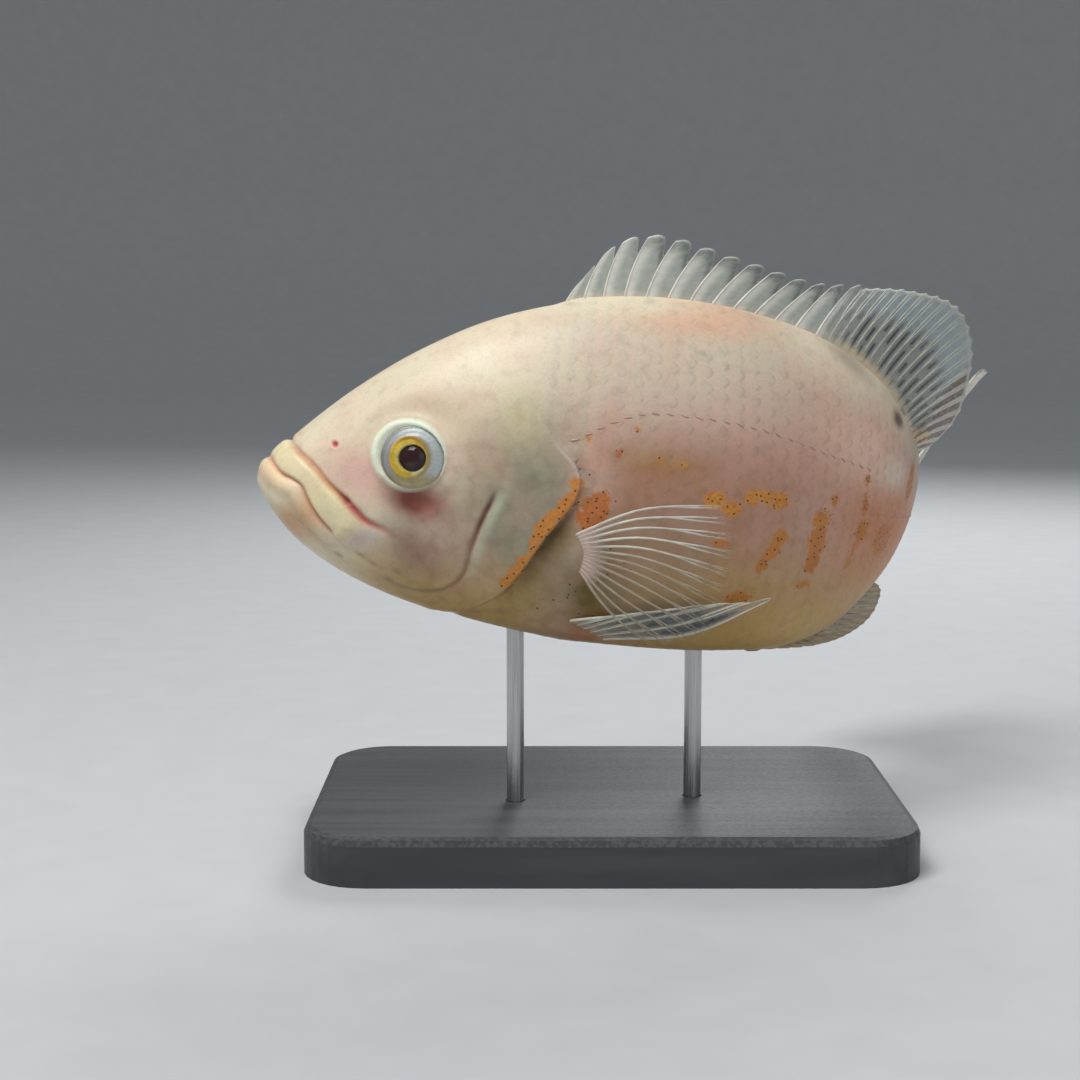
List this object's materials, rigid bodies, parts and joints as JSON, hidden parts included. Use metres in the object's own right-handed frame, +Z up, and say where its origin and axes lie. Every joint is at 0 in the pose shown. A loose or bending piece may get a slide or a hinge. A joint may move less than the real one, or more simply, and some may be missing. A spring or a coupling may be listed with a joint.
{
  "type": "oscar fish model",
  "caption": "Life-size pale oscar fish swimming with its tail swung to one side, fins spread, held over a flat base by short rods.",
  "frame": {"origin": "centre of the underside of the stand's base", "axes": "+Z up from the base; -X the way the fish looks; -Y the side of its left flank, with the tail swinging away to +Y"},
  "size_m": [0.2027, 0.1537, 0.1541],
  "materials": {
    "skin": "moist pale skin, cream to pink, with fine scales",
    "lips": "smooth pale skin",
    "eye": "clear and wet over a gold ring",
    "fin_membrane": "thin translucent membrane between pale rays",
    "stand_paint": "satin dark grey paint",
    "rod_steel": "satin"
  },
  "bodies": {
    "root": {"head": "skin", "upper_lip": "lips", "lower_jaw": "lips", "gill_cover_left": "skin", "gill_cover_right": "skin", "eye_left": "eye", "eye_right": "eye", "trunk": "skin", "tail_stem": "skin", "dorsal_fin": "fin_membrane", "anal_fin": "fin_membrane", "tail_fin": "fin_membrane", "pectoral_fin_left": "fin_membrane", "pectoral_fin_right": "fin_membrane", "pelvic_fin_left": "fin_membrane", "pelvic_fin_right": "fin_membrane", "stand_base": "stand_paint", "stand_rod_front": "rod_steel", "stand_rod_rear": "rod_steel"}
  },
  "joints": []
}
